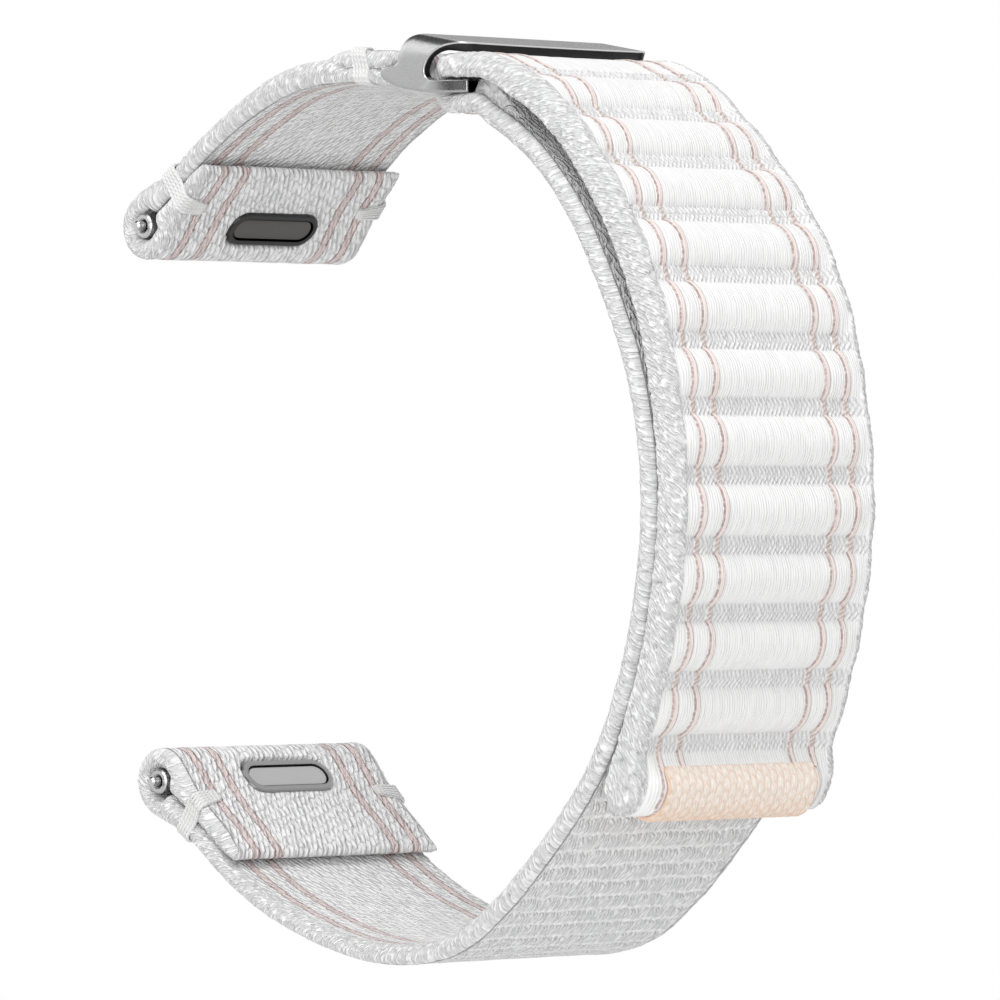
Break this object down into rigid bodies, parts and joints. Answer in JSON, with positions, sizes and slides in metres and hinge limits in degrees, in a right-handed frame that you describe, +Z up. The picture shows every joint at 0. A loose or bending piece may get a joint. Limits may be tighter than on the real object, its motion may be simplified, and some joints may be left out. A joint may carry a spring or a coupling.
{
  "type": "hook and loop watch strap",
  "caption": "Closed loop of woven watch strap: a ribbed padded tail folds through a metal slide buckle and fastens on itself; spring bars with push buttons at both ends.",
  "frame": {"origin": "middle of the lower spring bar, on its axis", "axes": "+Y along the spring bars, across the strap; +Z up, from the lower spring bar to the upper one; +X away from the watch, towards the ribbed tail"},
  "size_m": [0.0605, 0.0234, 0.0706],
  "materials": {
    "woven_white": "matte woven nylon, near white, with two pairs of thin pink brown stripes",
    "woven_peach": "matte woven tape, pale peach",
    "hook_white": "moulded hook tape, white",
    "white_thread": "sewing thread, white",
    "brushed_gunmetal": "satin dark grey",
    "polished_steel": "smooth light grey",
    "spring_wire": "drawn wire"
  },
  "bodies": {
    "long_strap": {"long_strap": "woven_white", "lower_bar_tube": "brushed_gunmetal", "lower_release_case": "brushed_gunmetal", "lower_pin_spring": "spring_wire", "lower_tack_near": "white_thread", "lower_tack_far": "white_thread"},
    "buckle": {"buckle_frame": "brushed_gunmetal"},
    "short_strap": {"short_strap": "woven_white", "upper_bar_tube": "brushed_gunmetal", "upper_release_case": "brushed_gunmetal", "upper_pin_spring": "spring_wire", "upper_tack_near": "white_thread", "upper_tack_far": "white_thread", "buckle_tack_near": "white_thread", "buckle_tack_far": "white_thread"},
    "padded_tail": {"padded_tail": "woven_white"},
    "tail_end": {"tail_end": "woven_white", "end_tab": "woven_peach", "hook_patch": "hook_white"},
    "lower_button": {"lower_button": "polished_steel"},
    "lower_pin_near": {"lower_pin_near": "polished_steel"},
    "lower_pin_far": {"lower_pin_far": "polished_steel"},
    "upper_button": {"upper_button": "polished_steel"},
    "upper_pin_near": {"upper_pin_near": "polished_steel"},
    "upper_pin_far": {"upper_pin_far": "polished_steel"}
  },
  "joints": [
    {"name": "buckle_rock", "type": "hinge", "parent": "long_strap", "child": "buckle", "pos_m": [0.03227, 0, 0.0533], "axis": [0, 1, 0], "range_deg": [-4, 4]},
    {"name": "short_strap_swing", "type": "hinge", "parent": "buckle", "child": "short_strap", "pos_m": [0.02662, 0, 0.0546], "axis": [0, 1, 0], "range_deg": [-20, 45]},
    {"name": "tail_peel", "type": "hinge", "parent": "long_strap", "child": "padded_tail", "pos_m": [0.03858, 0, 0.05458], "axis": [0, -1, 0], "range_deg": [0, 60]},
    {"name": "tail_lift", "type": "hinge", "parent": "padded_tail", "child": "tail_end", "pos_m": [0.05595, 0, 0.02358], "axis": [0, -1, 0], "range_deg": [0, 60]},
    {"name": "lower_press", "type": "slide", "parent": "long_strap", "child": "lower_button", "axis": [-0.7513, 0, -0.66], "range_m": [0, 0.00045], "stiffness_N_per_m": 500},
    {"name": "lower_pin_near_slide", "type": "slide", "parent": "long_strap", "child": "lower_pin_near", "axis": [0, 1, 0], "range_m": [0, 0.0009], "deforming": ["lower_pin_spring"]},
    {"name": "lower_pin_far_slide", "type": "slide", "parent": "long_strap", "child": "lower_pin_far", "axis": [0, -1, 0], "range_m": [0, 0.0009]},
    {"name": "upper_press", "type": "slide", "parent": "short_strap", "child": "upper_button", "axis": [-0.7694, 0, 0.6388], "range_m": [0, 0.00045], "stiffness_N_per_m": 500},
    {"name": "upper_pin_near_slide", "type": "slide", "parent": "short_strap", "child": "upper_pin_near", "axis": [0, 1, 0], "range_m": [0, 0.0009], "deforming": ["upper_pin_spring"]},
    {"name": "upper_pin_far_slide", "type": "slide", "parent": "short_strap", "child": "upper_pin_far", "axis": [0, -1, 0], "range_m": [0, 0.0009]}
  ],
  "couplings": [
    {"joint": "lower_pin_near_slide", "follows": "lower_press", "ratio": 2},
    {"joint": "lower_pin_far_slide", "follows": "lower_press", "ratio": 2},
    {"joint": "upper_pin_near_slide", "follows": "upper_press", "ratio": 2},
    {"joint": "upper_pin_far_slide", "follows": "upper_press", "ratio": 2}
  ]
}
